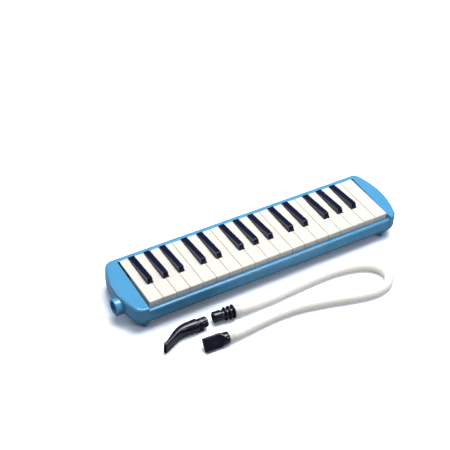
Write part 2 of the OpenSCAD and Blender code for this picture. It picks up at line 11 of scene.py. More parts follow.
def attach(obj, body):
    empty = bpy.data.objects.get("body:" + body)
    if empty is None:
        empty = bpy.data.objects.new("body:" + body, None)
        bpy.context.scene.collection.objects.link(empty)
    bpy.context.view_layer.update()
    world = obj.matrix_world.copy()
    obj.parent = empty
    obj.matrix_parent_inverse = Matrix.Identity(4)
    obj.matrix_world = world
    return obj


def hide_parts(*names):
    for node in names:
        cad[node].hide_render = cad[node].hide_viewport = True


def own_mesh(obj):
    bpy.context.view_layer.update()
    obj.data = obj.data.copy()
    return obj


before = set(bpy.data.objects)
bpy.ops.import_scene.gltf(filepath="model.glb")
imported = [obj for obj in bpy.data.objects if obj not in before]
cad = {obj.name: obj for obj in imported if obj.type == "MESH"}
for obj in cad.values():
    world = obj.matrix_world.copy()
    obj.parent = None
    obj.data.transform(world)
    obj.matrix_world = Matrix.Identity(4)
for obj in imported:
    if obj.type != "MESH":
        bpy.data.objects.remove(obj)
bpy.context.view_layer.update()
MM = 0.001


# ---- Studio ----
# A white table under one wide soft box, with a small one in front, a strip behind, and a dim room.
# The camera stands at the bass end, in front of the keys, and looks down on them.
camera_data = bpy.data.cameras.new("camera")
camera_data.lens = 90.43
camera_data.sensor_width = 36
camera_data.clip_start = 0.05
camera_data.clip_end = 60
camera = bpy.data.objects.new("camera", camera_data)
bpy.context.collection.objects.link(camera)
bpy.context.scene.camera = camera
camera.matrix_world = (
    Matrix.Translation((-0.67763, -0.93426, 1.12489))
    @ Matrix.Rotation(math.radians(-33.67), 4, "Z")
    @ Matrix.Rotation(math.radians(90 - 42.745), 4, "X")
    @ Matrix.Rotation(math.radians(4.748), 4, "Z")
)
bpy.context.scene.view_settings.view_transform = "Standard"


def soft_box(name, place, aim, width, depth, watts, colour):
    """A rectangular area light at place, turned to aim."""
    data = bpy.data.lights.new(name, "AREA")
    data.shape = "RECTANGLE"
    data.size, data.size_y = width, depth
    data.energy = watts
    data.color = colour
    light = bpy.data.objects.new(name, data)
    bpy.context.collection.objects.link(light)
    light.location = place
    light.rotation_euler = (Vector(aim) - Vector(place)).to_track_quat("-Z", "Y").to_euler()


soft_box("overhead_box", (0.28, 0.22, 1.5), (0, -0.02, 0), 1.3, 0.85, 34, (1.0, 0.99, 0.97))
soft_box("front_fill", (0.80, -1.35, 1.08), (0, -0.05, 0.02), 0.42, 0.3, 3.6, (1.0, 0.98, 0.95))
soft_box("rear_strip", (-1.4, 1.05, 0.85), (-0.05, 0, 0.03), 0.8, 0.45, 6.5, (0.95, 0.98, 1.0))


def link(tree, source, output, target, entry):
    """Joins a node's output to another node's input, each by name or number."""
    tree.links.new(source.outputs[output], target.inputs[entry])


# The room: white where the camera sees it, dim for what the gloss reflects
world = bpy.data.worlds.new("room")
bpy.context.scene.world = world
world.use_nodes = True
room = world.node_tree
room.nodes.clear()
direction = room.nodes.new("ShaderNodeTexCoord")
split = room.nodes.new("ShaderNodeSeparateXYZ")
heights = room.nodes.new("ShaderNodeValToRGB")
heights.color_ramp.elements[0].position = 0.0
heights.color_ramp.elements[0].color = (0.14, 0.15, 0.17, 1)
heights.color_ramp.elements[1].position = 1.0
heights.color_ramp.elements[1].color = (0.5, 0.5, 0.52, 1)
for place, shade in ((0.28, 0.14), (0.5, 0.11), (0.82, 0.14)):
    mark = heights.color_ramp.elements.new(place)
    mark.color = (shade, shade * 1.02, shade * 1.08, 1)
rays = room.nodes.new("ShaderNodeLightPath")
choose = room.nodes.new("ShaderNodeMix")
choose.data_type = "RGBA"
choose.inputs["B"].default_value = (1, 1, 1, 1)
background = room.nodes.new("ShaderNodeBackground")
world_out = room.nodes.new("ShaderNodeOutputWorld")
link(room, direction, "Generated", split, 0)
link(room, split, "Z", heights, 0)
link(room, heights, 0, choose, "A")
link(room, rays, "Is Camera Ray", choose, "Factor")
link(room, choose, "Result", background, 0)
link(room, background, 0, world_out, 0)

# The table's top: lit past white to the eye, and darker in the light that it throws back
floor_mesh = bpy.data.meshes.new("table_top")
side = 6.0
floor_mesh.from_pydata(
    [(-side, -side, -0.0003), (side, -side, -0.0003), (side, side, -0.0003), (-side, side, -0.0003)],
    [],
    [(0, 1, 2, 3)],
)
floor = bpy.data.objects.new("table_top", floor_mesh)
bpy.context.collection.objects.link(floor)
paper = bpy.data.materials.new("white_paper")
paper.use_nodes = True
sheet = paper.node_tree
sheet.nodes.clear()
rays = sheet.nodes.new("ShaderNodeLightPath")
thrown = sheet.nodes.new("ShaderNodeMix")
thrown.data_type = "RGBA"
thrown.inputs["A"].default_value = (0.40, 0.39, 0.37, 1)
thrown.inputs["B"].default_value = (0.26, 0.30, 0.36, 1)
seen = sheet.nodes.new("ShaderNodeMix")
seen.data_type = "RGBA"
# To the eye the table is bluer, which paints a blue shade into the shadows that fall on it
seen.inputs["B"].default_value = (1.25, 1.34, 1.50, 1)
diffuse = sheet.nodes.new("ShaderNodeBsdfDiffuse")
paper_out = sheet.nodes.new("ShaderNodeOutputMaterial")
link(sheet, rays, "Is Glossy Ray", thrown, "Factor")
link(sheet, thrown, "Result", seen, "A")
link(sheet, rays, "Is Camera Ray", seen, "Factor")
link(sheet, seen, "Result", diffuse, 0)
link(sheet, diffuse, 0, paper_out, 0)
floor.data.materials.append(paper)


# ---- Hose ----
# A milky, slightly yellowed PVC tube of 13 mm, cut to length and pushed over a nipple at each end.
# It lies on the table in one wide loop and is lifted at its ends by what it is pushed onto.
HOSE_R = 6.5 * MM
HOSE_BORE = 4.75 * MM
HOSE_ROUTE = MM * np.array([
    (-83.9, -82.5, 10.1), (-72, -83.4, 9.6), (-58, -83.8, 8.2), (-42, -83.6, 6.9),
    (-15, -83, 6.5), (16, -81, 6.5), (47, -79.5, 6.5), (77, -79.5, 6.5), (103, -82.5, 6.5),
    (124, -88.5, 6.5), (139.5, -99, 6.5), (146.5, -113, 6.5), (143, -127, 6.5),
    (131, -136, 6.5), (114, -139, 6.5), (97, -137.5, 6.5), (72, -131.5, 6.5),
    (46, -124.5, 6.5), (21, -118.5, 6.5), (-5, -114, 6.5), (-33, -112.5, 6.5),
    (-60, -114, 6.8), (-84, -116.3, 7.6), (-100, -117.5, 8.3), (-114.1, -117.6, 8.6),
])


def smooth_route(points, steps):
    """A Catmull-Rom curve: between each two points, the cubic whose slope at a point is half the
    step from the point before it to the point after it."""
    p = np.concatenate([points[:1], points, points[-1:]])
    t = (np.arange(steps) / steps)[None, :, None]
    a, b, c, d = (p[k : len(p) - 3 + k, None, :] for k in range(4))
    line = 0.5 * (
        2 * b + (c - a) * t + (2 * a - 5 * b + 4 * c - d) * t**2 + (3 * b - a - 3 * c + d) * t**3
    )
    return np.concatenate([line.reshape(-1, points.shape[1]), points[-1:]])


def lengths_along(line):
    """The distance along a line of points from its start to each point."""
    return np.concatenate([[0], np.cumsum(np.linalg.norm(np.diff(line, axis=0), axis=1))])


def grid_faces(rows, columns, close_rows=False, close_columns=True):
    """Four-sided faces between neighbouring points of a grid that is numbered row by row."""
    r = np.arange(rows if close_rows else rows - 1)[:, None]
    c = np.arange(columns if close_columns else columns - 1)[None, :]
    r2, c2 = (r + 1) % rows, (c + 1) % columns
    corners = [r * columns + c, r * columns + c2, r2 * columns + c2, r2 * columns + c]
    return np.stack(corners, -1).reshape(-1, 4)


def add_piece(name, body, material, points, faces, sharp=35, caps=()):
    """Makes a closed mesh of points and faces, with doubled points merged, normals outwards, and
    edges sharper than the angle kept sharp. caps are rings of point numbers, each one face."""
    mesh = bpy.data.meshes.new(name)
    mesh.from_pydata(points.reshape(-1, 3).tolist(), [], faces.tolist() + [list(c) for c in caps])
    shape = bmesh.new()
    shape.from_mesh(mesh)
    bmesh.ops.remove_doubles(shape, verts=shape.verts, dist=2e-6)
    bmesh.ops.recalc_face_normals(shape, faces=shape.faces)
    shape.to_mesh(mesh)
    shape.free()
    mesh.polygons.foreach_set("use_smooth", np.ones(len(mesh.polygons), bool))
    mesh.set_sharp_from_angle(angle=math.radians(sharp))
    piece = bpy.data.objects.new(name, mesh)
    bpy.context.collection.objects.link(piece)
    piece.data.materials.append(material)
    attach(piece, body)
    return piece


def new_material(name):
    """A material with its node tree, its Principled shader, and its Object coordinates."""
    material = bpy.data.materials.new(name)
    material.use_nodes = True
    tree = material.node_tree
    place = tree.nodes.new("ShaderNodeTexCoord")
    return material, tree, tree.nodes["Principled BSDF"], place


def noise(tree, place, scale, detail=2.0, rough=0.5):
    """A noise texture whose grain is one over scale metres, on Object coordinates."""
    grain = tree.nodes.new("ShaderNodeTexNoise")
    grain.inputs["Scale"].default_value = scale
    grain.inputs["Detail"].default_value = detail
    grain.inputs["Roughness"].default_value = rough
    link(tree, place, "Object", grain, "Vector")
    return grain


def ramp(tree, low, high, low_colour, high_colour):
    """A colour ramp between two places of its input."""
    band = tree.nodes.new("ShaderNodeValToRGB")
    band.color_ramp.elements[0].position = low
    band.color_ramp.elements[0].color = low_colour
    band.color_ramp.elements[1].position = high
    band.color_ramp.elements[1].color = high_colour
    return band


# Milky PVC: cloudy colour, a faint painted glow that lightens the whole tube as painted light in place
# of the light that its wall would carry, and a grey, speckled look where a nipple stands inside the hose
pvc, tree, shader, place = new_material("milky_pvc")
clouds = ramp(tree, 0.3, 0.75, (0.69, 0.68, 0.655, 1), (0.72, 0.71, 0.685, 1))
link(tree, noise(tree, place, 60, 3), "Fac", clouds, "Fac")
speckle = ramp(tree, 0.42, 0.62, (0.36, 0.40, 0.41, 1), (0.80, 0.81, 0.80, 1))
link(tree, noise(tree, place, 900, 2), "Fac", speckle, "Fac")
nipple_mask = tree.nodes.new("ShaderNodeAttribute")
nipple_mask.attribute_name = "over_nipple"
mixed = tree.nodes.new("ShaderNodeMix")
mixed.data_type = "RGBA"
link(tree, nipple_mask, "Fac", mixed, "Factor")
link(tree, clouds, "Color", mixed, "A")
link(tree, speckle, "Color", mixed, "B")
link(tree, mixed, "Result", shader, "Base Color")
smears = ramp(tree, 0.35, 0.7, (0.16, 0.16, 0.16, 1), (0.30, 0.30, 0.30, 1))
link(tree, noise(tree, place, 140, 4), "Fac", smears, "Fac")
link(tree, smears, "Color", shader, "Roughness")
drawn = tree.nodes.new("ShaderNodeBump")
drawn.inputs["Strength"].default_value = 0.12
drawn.inputs["Distance"].default_value = 0.0004
link(tree, noise(tree, place, 220, 2), "Fac", drawn, "Height")
link(tree, drawn, "Normal", shader, "Normal")
shader.inputs["Subsurface Weight"].default_value = 0.3
shader.inputs["Subsurface Radius"].default_value = (1.0, 1.0, 0.9)
shader.inputs["Subsurface Scale"].default_value = 0.004
# Painted glow: a faint warm emission that brightens the tube, its shaded underside too, as painted light
shader.inputs["Emission Color"].default_value = (1.0, 0.965, 0.92, 1)
shader.inputs["Emission Strength"].default_value = 0.18
shader.inputs["IOR"].default_value = 1.48

hose_line = smooth_route(HOSE_ROUTE, 12)
hose_run = lengths_along(hose_line)
hose_length = float(hose_run[-1])
ways = np.gradient(hose_line, axis=0)
ways /= np.linalg.norm(ways, axis=1)[:, None]
sides = np.cross(ways, (0, 0, 1))
sides /= np.linalg.norm(sides, axis=1)[:, None]
rises = np.cross(sides, ways)


def hose_rings(radius, around):
    """Each ring is a circle square to the route: the route's point plus the radius times the
    cosine and sine of the angle along the route's sideways and upward directions."""
    a = np.linspace(0, 2 * math.pi, around, endpoint=False)
    turn = np.cos(a)[None, :, None] * sides[:, None] + np.sin(a)[None, :, None] * rises[:, None]
    return hose_line[:, None] + radius[:, None, None] * turn


from_end = np.minimum(hose_run, hose_length - hose_run)
swell = 1 + 0.035 * np.clip((0.0115 - from_end) / 0.003, 0, 1)
lip = 0.6 * MM * np.clip(1 - from_end / (0.7 * MM), 0, 1) ** 2
HOSE_AROUND = 40
outer = hose_rings(HOSE_R * swell - lip, HOSE_AROUND)
inner = hose_rings(HOSE_BORE * np.ones(len(hose_run)), HOSE_AROUND)
rings = np.concatenate([outer, inner[::-1]])
hose = add_piece(
    "hose_tube", "hose_set", pvc, rings,
    grid_faces(len(rings), HOSE_AROUND, close_rows=True), sharp=50,
)
spot = np.zeros(len(hose.data.vertices) * 3)
hose.data.vertices.foreach_get("co", spot)
spot = spot.reshape(-1, 3)
reach = np.minimum(
    np.linalg.norm(spot - hose_line[0], axis=1), np.linalg.norm(spot - hose_line[-1], axis=1)
)
over = hose.data.attributes.new("over_nipple", "FLOAT", "POINT")
over.data.foreach_set("value", np.clip((12.5 * MM - reach) / (2.5 * MM), 0, 1).astype(np.float32))
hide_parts("hose")


# ---- Hose fittings ----
# Two black ABS mouldings that push into the hose's ends. The connector has a plain sleeve that
# fits the blow socket, and three growing rings to grip. The mouthpiece has a flat blade.
def moulding_skin():
    """A group that gives a moulded surface its small changes: a soft mottle in the colour, haze
    and faint rub marks in the gloss, and the slight orange-peel of the tool's face in the height."""
    group = bpy.data.node_groups.new("moulding_skin", "ShaderNodeTree")
    face = group.interface
    for label, kind in (("Colour", "NodeSocketColor"), ("Mottle colour", "NodeSocketColor"),
                        ("Gloss", "NodeSocketFloat"), ("Haze", "NodeSocketFloat"),
                        ("Peel scale", "NodeSocketFloat"), ("Rub scale", "NodeSocketFloat")):
        face.new_socket(name=label, in_out="INPUT", socket_type=kind)
    for label, kind in (("Colour", "NodeSocketColor"), ("Roughness", "NodeSocketFloat"),
                        ("Height", "NodeSocketFloat")):
        face.new_socket(name=label, in_out="OUTPUT", socket_type=kind)
    given = group.nodes.new("NodeGroupInput")
    made = group.nodes.new("NodeGroupOutput")
    place = group.nodes.new("ShaderNodeTexCoord")
    mottle = noise(group, place, 25, 3)
    spread = ramp(group, 0.35, 0.75, (0, 0, 0, 1), (1, 1, 1, 1))
    link(group, mottle, "Fac", spread, "Fac")
    tint = group.nodes.new("ShaderNodeMix")
    tint.data_type = "RGBA"
    link(group, spread, "Color", tint, "Factor")
    link(group, given, "Colour", tint, "A")
    link(group, given, "Mottle colour", tint, "B")
    link(group, tint, "Result", made, "Colour")
    stretched = group.nodes.new("ShaderNodeMapping")
    stretched.inputs["Scale"].default_value = (1, 6, 2)
    stretched.inputs["Rotation"].default_value = (0.2, 0.1, 0.5)
    link(group, place, "Object", stretched, "Vector")
    rubs = group.nodes.new("ShaderNodeTexNoise")
    rubs.inputs["Detail"].default_value = 4
    link(group, given, "Rub scale", rubs, "Scale")
    link(group, stretched, "Vector", rubs, "Vector")
    rubbed = ramp(group, 0.5, 0.72, (0, 0, 0, 1), (1, 1, 1, 1))
    link(group, rubs, "Fac", rubbed, "Fac")
    dull = group.nodes.new("ShaderNodeMapRange")
    link(group, rubbed, "Color", dull, "Value")
    link(group, given, "Gloss", dull, "To Min")
    link(group, given, "Haze", dull, "To Max")
    link(group, dull, "Result", made, "Roughness")
    peel = group.nodes.new("ShaderNodeTexNoise")
    peel.inputs["Detail"].default_value = 1.5
    link(group, place, "Object", peel, "Vector")
    link(group, given, "Peel scale", peel, "Scale")
    link(group, peel, "Fac", made, "Height")
    return group


SKIN = moulding_skin()


def moulded_plastic(name, colour, mottle, gloss, haze, peel, depth, rub=70):
    """A solid-coloured moulding: the skin group over a Principled shader."""
    material, tree, shader, _ = new_material(name)
    skin = tree.nodes.new("ShaderNodeGroup")
    skin.node_tree = SKIN
    skin.inputs["Colour"].default_value = (*colour, 1)
    skin.inputs["Mottle colour"].default_value = (*mottle, 1)
    skin.inputs["Gloss"].default_value = gloss
    skin.inputs["Haze"].default_value = haze
    skin.inputs["Peel scale"].default_value = peel
    skin.inputs["Rub scale"].default_value = rub
    bump = tree.nodes.new("ShaderNodeBump")
    bump.inputs["Strength"].default_value = 1.0
    bump.inputs["Distance"].default_value = depth
    link(tree, skin, "Colour", shader, "Base Color")
    link(tree, skin, "Roughness", shader, "Roughness")
    link(tree, skin, "Height", bump, "Height")
    link(tree, bump, "Normal", shader, "Normal")
    shader.inputs["IOR"].default_value = 1.53
    return material


fitting_black = moulded_plastic(
    "fitting_black_abs", (0.004, 0.005, 0.016), (0.006, 0.007, 0.020), 0.13, 0.24, 380, 0.00001
)


def eased(points, radius, steps=4):
    """A closed outline with each corner replaced by a curve: a parabola between the two points
    that lie `radius` from the corner, or less where a side is short."""
    p = np.asarray(points, float)
    before, after = np.roll(p, 1, axis=0) - p, np.roll(p, -1, axis=0) - p
    lb, la = np.linalg.norm(before, axis=1), np.linalg.norm(after, axis=1)
    reach = np.minimum(radius, 0.45 * np.minimum(lb, la))
    a = p + before * (reach / lb)[:, None]
    b = p + after * (reach / la)[:, None]
    t = np.linspace(0, 1, steps + 1)[None, :, None]
    return ((1 - t) ** 2 * a[:, None] + 2 * t * (1 - t) * p[:, None] + t**2 * b[:, None]).reshape(-1, 2)


def turned(outline, place, heading, around=72):
    """A ring-shaped solid: an outline of (distance along the axis, radius) carried round the
    axis, which leaves place at an angle from +X on the table."""
    a = np.linspace(0, 2 * math.pi, around, endpoint=False)
    h = math.radians(heading)
    along, across = np.array((math.cos(h), math.sin(h), 0)), np.array((-math.sin(h), math.cos(h), 0))
    o = np.asarray(outline, float) * MM
    spin = np.cos(a)[:, None] * across + np.sin(a)[:, None] * np.array((0, 0, 1.0))
    return (
        np.array(place) * MM + o[:, None, :1] * along + o[:, None, 1:] * spin[None]
    ), grid_faces(len(o), around, close_rows=True)


CONNECTOR_L = 31.5
NIPPLE_L = 10.0
NIPPLE_R = 4.75
CONNECTOR_BORE = 3.6
rings_outline = []
for k in range(3):
    x, r = 14 + 6 * k, 9.5 + 0.25 * k
    rings_outline += [(x + 1.5, 6.3), (x + 2.3, r - 0.9), (x + 3.2, r), (x + 4.2, r), (x + 4.7, 6.3)]
connector_outline = eased(
    [(0, 5.2), (0, 6.7), (0.9, 7.5), (11.4, 7.5), (11.9, 6.4)]
    + rings_outline
    + [(CONNECTOR_L, 6.3), (CONNECTOR_L, NIPPLE_R), (CONNECTOR_L + NIPPLE_L - 1.2, NIPPLE_R),
       (CONNECTOR_L + NIPPLE_L, NIPPLE_R - 0.5), (CONNECTOR_L + NIPPLE_L, CONNECTOR_BORE),
       (2.2, CONNECTOR_BORE)],
    0.45,
)
points, faces = turned(connector_outline, (-115.3, -79.7, 10.1), -5)
connector = add_piece(
    "hose_connector_sleeve", "hose_set", fitting_black, points, faces, sharp=60
)
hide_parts("hose_connector")

# The mouthpiece: sections that pass from the flat blade to the round collar and the nipple. Each
# station is (distance, half width, half thickness, squareness); 2 is an ellipse, more is squarer
BLADE_OUT = np.array([
    (0.35, 9.0, 2.9, 9), (0, 9.0, 2.9, 9), (0.0, 9.2, 3.1, 9), (0.4, 9.5, 3.3, 9), (6, 9.5, 3.3, 9),
    (12, 9.5, 3.35, 9), (18, 9.5, 3.4, 9), (22.6, 9.5, 3.45, 8), (23.4, 9.45, 3.6, 7),
    (25.4, 9.1, 5.6, 3.2), (27.4, 8.6, 7.6, 2.3), (28.6, 8.2, 8.1, 2), (29.4, 8.2, 8.2, 2),
    (34.7, 8.2, 8.2, 2), (35.3, 8.0, 8.0, 2), (35.5, 7.6, 7.6, 2), (35.5, 5.2, 5.2, 2),
    (35.5, 4.75, 4.75, 2), (36.0, 4.75, 4.75, 2), (44.3, 4.75, 4.75, 2), (45.4, 4.3, 4.3, 2),
    (45.4, 3.6, 3.6, 2),
])
BLADE_IN = np.array([
    (45.0, 3.2, 3.2, 2), (27, 3.2, 3.2, 2), (22, 4.5, 2.2, 2.5), (16, 6.5, 1.2, 5),
    (1.0, 6.5, 1.2, 7), (0.35, 6.7, 1.4, 7),
])


def lofted(stations, around, place, heading, tilt):
    """Closed sections along an axis. A section's point at an angle is the half width times the
    cosine, and the half thickness times the sine, each raised to 2 over the squareness. The
    section is rolled by tilt about the axis, and the axis leaves place at the heading."""
    a = np.linspace(0, 2 * math.pi, around, endpoint=False)
    x, w, t, n = (stations[:, k, None] for k in range(4))
    power = 2 / n
    across = w * np.sign(np.cos(a)) * np.abs(np.cos(a)) ** power
    upward = t * np.sign(np.sin(a)) * np.abs(np.sin(a)) ** power
    c, s = math.cos(math.radians(tilt)), math.sin(math.radians(tilt))
    y, z = across * c - upward * s, across * s + upward * c
    h = math.radians(heading)
    points = np.stack([x * math.cos(h) - y * math.sin(h), x * math.sin(h) + y * math.cos(h), z], -1)
    return (points + np.array(place)) * MM, grid_faces(len(stations), around, close_rows=True)


points, faces = lofted(np.concatenate([BLADE_OUT, BLADE_IN]), 96, (-149.6, -116.4, 8.6), -2, 47)
blade = add_piece(
    "hose_mouthpiece_blade", "hose_set", fitting_black, points, faces, sharp=40
)
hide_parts("hose_mouthpiece")


# ---- Casing ----
# Two glossy sky-blue ABS shells, screwed together at the parting line: a dish with a rolled belly
# and four moulded feet, and a cover with two cheeks, a rear rail and a lower front rail round the
# well that the keys stand in.
casing_blue = moulded_plastic(
    "casing_blue_abs", (0.074, 0.300, 0.555), (0.082, 0.316, 0.575), 0.08, 0.15, 260, 0.000012, 40
)
DEPTH = 52.0
ARC_R, CORNER_R, BELLY = 112.0, 13.0, 11.0
LEFT_ARC_X, RIGHT_ARC_X = -111.35, 106.35
CORNER_Y = DEPTH - CORNER_R
CORNER_DX = math.sqrt((ARC_R - CORNER_R) ** 2 - CORNER_Y**2)
END_A = math.degrees(math.atan2(CORNER_Y, CORNER_DX))
WELL_X, WELL_FRONT, WELL_REAR = 195.4, -45.5, 44.4
WELL_CORNER = 0.9
WALL = 2.2
TOP_Z, RAIL_Z, SPLIT_Z, BASE_Z = 40.5, 34.8, 20.0, 7.0
STEP_W = 0.8


def arc_run(x, y, r, a0, a1, count):
    """Points on an arc from angle a0 towards a1, with the normals that point from its middle."""
    a = np.radians(np.linspace(a0, a1, count, endpoint=False))
    normal = np.stack([np.cos(a), np.sin(a)], 1)
    return np.array((x, y)) + r * normal, normal


def line_run(x0, y0, x1, y1, normal, count):
    """Points on a line from its first end towards its second, all with the same normal."""
    t = np.linspace(0, 1, count, endpoint=False)[:, None]
    return np.array((x0, y0)) * (1 - t) + np.array((x1, y1)) * t, np.tile(normal, (count, 1))


def joined(*runs):
    """Several runs of points and normals as one."""
    return np.concatenate([r[0] for r in runs]), np.concatenate([r[1] for r in runs])


# The casing's outline and the well's, clockwise from above and station for station: each pair of
# runs is one part of the outline and the part of the well that it faces. rail is 1 on the front
# rail and 0 elsewhere, and open_rear is 1 along the rear, where the well has no wall
rx, lx = RIGHT_ARC_X + CORNER_DX, LEFT_ARC_X - CORNER_DX
wx, wf, wr, wc = WELL_X - WELL_CORNER, WELL_FRONT + WELL_CORNER, WELL_REAR - WELL_CORNER, WELL_CORNER
PAIRS = [
    (line_run(lx, DEPTH, -WELL_X, DEPTH, (0, 1), 8), arc_run(-wx, wr, wc, 180, 90, 8)),
    (line_run(-WELL_X, DEPTH, WELL_X, DEPTH, (0, 1), 60),
     line_run(-wx, WELL_REAR, wx, WELL_REAR, (0, 1), 60)),
    (line_run(WELL_X, DEPTH, rx, DEPTH, (0, 1), 8), arc_run(wx, wr, wc, 90, 0, 8)),
    (joined(arc_run(rx, CORNER_Y, CORNER_R, 90, END_A, 24),
            arc_run(RIGHT_ARC_X, 0, ARC_R, END_A, -END_A, 64),
            arc_run(rx, -CORNER_Y, CORNER_R, -END_A, -90, 24),
            line_run(rx, -DEPTH, WELL_X + STEP_W, -DEPTH, (0, -1), 6)),
     line_run(WELL_X, wr, WELL_X, wf, (1, 0), 118)),
    (line_run(WELL_X + STEP_W, -DEPTH, WELL_X, -DEPTH, (0, -1), 8),
     arc_run(wx, wf, wc, 0, -90, 8)),
    (line_run(WELL_X, -DEPTH, -WELL_X, -DEPTH, (0, -1), 60),
     line_run(wx, WELL_FRONT, -wx, WELL_FRONT, (0, -1), 60)),
    (line_run(-WELL_X, -DEPTH, -WELL_X - STEP_W, -DEPTH, (0, -1), 8),
     arc_run(-wx, wf, wc, -90, -180, 8)),
    (joined(line_run(-WELL_X - STEP_W, -DEPTH, lx, -DEPTH, (0, -1), 6),
            arc_run(lx, -CORNER_Y, CORNER_R, -90, END_A - 180, 24),
            arc_run(LEFT_ARC_X, 0, ARC_R, END_A - 180, -END_A - 180, 64),
            arc_run(lx, CORNER_Y, CORNER_R, -END_A - 180, -270, 24)),
     line_run(-WELL_X, wf, -WELL_X, wr, (-1, 0), 118)),
]
rim, rim_out = joined(*(p[0] for p in PAIRS))
well, well_out = joined(*(p[1] for p in PAIRS))
counts = [len(p[0][0]) for p in PAIRS]
rise = np.linspace(0, 1, counts[4], endpoint=False)
rise = rise * rise * (3 - 2 * rise)
rail = np.concatenate([np.zeros(sum(counts[:4])), rise, np.ones(counts[5]), 1 - rise,
                       np.zeros(counts[7])])
open_rear = np.concatenate([rise[: counts[0]], np.ones(counts[1]), 1 - rise[: counts[2]],
                            np.zeros(sum(counts[3:]))])
top = TOP_Z - (TOP_Z - RAIL_Z) * rail
end_on = np.abs(rim_out[:, 0])
STATIONS = len(rim)


def level(plan, height):
    """One row of the shell: points seen from above, each at its own height."""
    return np.concatenate([plan, np.broadcast_to(height, (STATIONS,))[:, None]], 1)


def inset(d):
    """The casing's outline moved inwards by d."""
    return rim - rim_out * np.broadcast_to(d, (STATIONS,))[:, None]


def beyond(e):
    """The well's outline moved outwards, into the casing, by e."""
    return well + well_out * np.broadcast_to(e, (STATIONS,))[:, None]


def upper_shell_rows():
    """Rows round the cover's section, from the parting line up the wall, over the rim, across the
    top, down the well's wall, and back under everything on the inside."""
    sunk = 0.45 * rail
    rim_r, edge_r, draft, groove = 2.4 + 1.8 * end_on, 0.8, 0.35, 0.4
    rows = [level(inset(groove), SPLIT_Z), level(inset(groove), SPLIT_Z + 0.25),
            level(inset(0.06), SPLIT_Z + 0.5), level(inset(0.0), SPLIT_Z + 0.8)]
    for t in (0.2, 0.5, 0.8, 1.0):
        wall_top = top - rim_r
        rows.append(level(inset((draft + sunk) * t), SPLIT_Z + 0.8 + (wall_top - SPLIT_Z - 0.8) * t))
    for f in np.radians(np.linspace(12, 90, 7)):
        d = draft + sunk + rim_r * (1 - math.cos(f))
        rows.append(level(inset(d), top - rim_r + rim_r * math.sin(f)))
    start, end = inset(draft + sunk + rim_r), beyond(edge_r)
    for t in (0.03, 0.35, 0.65, 0.97):
        rows.append(level(start * (1 - t) + end * t, top))
    for f in np.radians(np.linspace(0, 90, 6)):
        rows.append(level(beyond(edge_r * (1 - math.sin(f))), top - edge_r * (1 - math.cos(f))))
    foot = 24.5 * (1 - open_rear) + (top - WALL) * open_rear
    rows += [level(beyond(0), foot + (top - edge_r - foot) * 0.4), level(beyond(0), foot)]
    rows += [level(beyond(2 - 1.9 * open_rear), foot), level(beyond(2), top - WALL)]
    rows += [level(inset(WALL + sunk), top - WALL), level(inset(WALL), SPLIT_Z)]
    return np.stack(rows)


def lower_shell_rows():
    """Rows of the dish, from the middle ring of its base up the rolled belly to the parting line,
    and back down the inside. The belly is a stretch of an ellipse that leans in from the start, and
    rolls in further along the two curved ends."""
    lean, groove = math.radians(35), 0.4
    a = (BELLY + 3 * np.clip((end_on - 0.92) / 0.08, 0, 1)) / math.cos(lean)
    b = (SPLIT_Z - 0.8 - BASE_Z) / (1 - math.sin(lean))
    rows = []
    for f in np.linspace(math.pi / 2, lean, 18):
        rows.append(level(inset(a * (math.cos(lean) - math.cos(f)) * 0.995),
                          SPLIT_Z - 0.8 - b * (math.sin(f) - math.sin(lean))))
    rows += [level(inset(0.06), SPLIT_Z - 0.45), level(inset(groove), SPLIT_Z - 0.25),
             level(inset(groove), SPLIT_Z), level(inset(WALL + 0.2), SPLIT_Z)]
    for f in np.linspace(lean, math.pi / 2, 10):
        z = max(SPLIT_Z - 0.8 - b * (math.sin(f) - math.sin(lean)), BASE_Z + WALL)
        d = np.minimum(a * (math.cos(lean) - math.cos(f)) + WALL, np.maximum(a * 0.81, BELLY + 1))
        rows.append(level(inset(d), z))
    return np.stack(rows)


def plug_solid(x, y, z, along, profile, around=40):
    """A closed round bar on its own, as points and faces, that a shell is cut by or joined to. Its
    profile is (distance along it, radius) at each ring."""
    a = np.linspace(0, 2 * math.pi, around, endpoint=False)
    spin = np.stack([np.cos(a), np.sin(a)], 1)
    ends = []
    for step, r in profile:
        flat = spin * r
        far = np.full((around, 1), step)
        ends.append(np.concatenate([far, flat], 1) if along == "x" else np.concatenate([flat, far], 1))
    points = (np.concatenate(ends) + np.array((x, y, z))) * MM
    last = (len(profile) - 1) * around
    faces = grid_faces(len(profile), around).tolist()
    return points, faces + [list(range(around)), list(range(last, last + around))]


def carve(piece, solids, operation):
    """Cuts solids out of a piece, or joins them to it, and keeps the result as its mesh."""
    mesh = bpy.data.meshes.new("carver")
    points, faces = [], []
    for p, f in solids:
        base = sum(len(q) for q in points)
        points.append(p)
        faces += [[base + v for v in face] for face in f]
    mesh.from_pydata(np.concatenate(points).tolist(), [], faces)
    shape = bmesh.new()
    shape.from_mesh(mesh)
    bmesh.ops.recalc_face_normals(shape, faces=shape.faces)
    shape.to_mesh(mesh)
    shape.free()
    tool = bpy.data.objects.new("carver", mesh)
    bpy.context.collection.objects.link(tool)
    cut = piece.modifiers.new("carve", "BOOLEAN")
    cut.operation = operation
    cut.solver = "EXACT"
    cut.object = tool
    done = piece.evaluated_get(bpy.context.evaluated_depsgraph_get())
    result = bpy.data.meshes.new_from_object(done)
    piece.modifiers.clear()
    bpy.data.objects.remove(tool)
    old, piece.data = piece.data, result
    result.name = old.name
    bpy.data.meshes.remove(old)
    result.polygons.foreach_set("use_smooth", np.ones(len(result.polygons), bool))
    result.set_sharp_from_angle(angle=math.radians(32))


def evened(piece):
    """Gives large flat faces the say over the normals round them."""
    even = piece.modifiers.new("even_normals", "WEIGHTED_NORMAL")
    even.keep_sharp = True
    even.weight = 90


